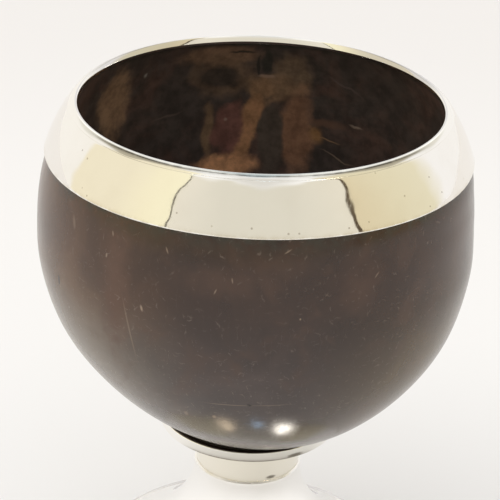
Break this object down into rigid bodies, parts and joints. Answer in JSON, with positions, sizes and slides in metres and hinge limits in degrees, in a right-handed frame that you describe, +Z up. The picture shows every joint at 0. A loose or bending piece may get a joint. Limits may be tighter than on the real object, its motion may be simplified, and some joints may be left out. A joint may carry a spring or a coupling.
{
  "type": "silver-mounted coconut cup",
  "caption": "Coconut shell goblet: a plain polished nut with a broad silver rim band and capping lip, on a saucer, short neck and hollow trumpet foot held by a stud.",
  "frame": {"origin": "centre of the face that the foot stands on", "axes": "+Z up along the axis of the cup; -Y is the side that the picture shows"},
  "size_m": [0.096, 0.096, 0.1175],
  "materials": {
    "coconut": "polished dark nut shell with fine pale flecks",
    "silver": "polished silver",
    "pin_silver": "tarnished silver",
    "pitch": "black pitch",
    "leather": "oiled leather",
    "brass": "turned brass, dulled"
  },
  "bodies": {
    "root": {"nut_shell": "coconut", "band_bed": "pitch", "rim_band": "silver", "rim_lip": "silver", "band_pins": "pin_silver", "seat_bed": "pitch", "seat_dish": "silver", "neck_drum": "silver", "trumpet_foot": "silver", "foot_rim": "silver", "bowl_boss": "silver", "leather_seal": "leather", "fixing_stud": "brass", "stud_washer": "brass", "stud_nut": "brass"}
  },
  "joints": []
}
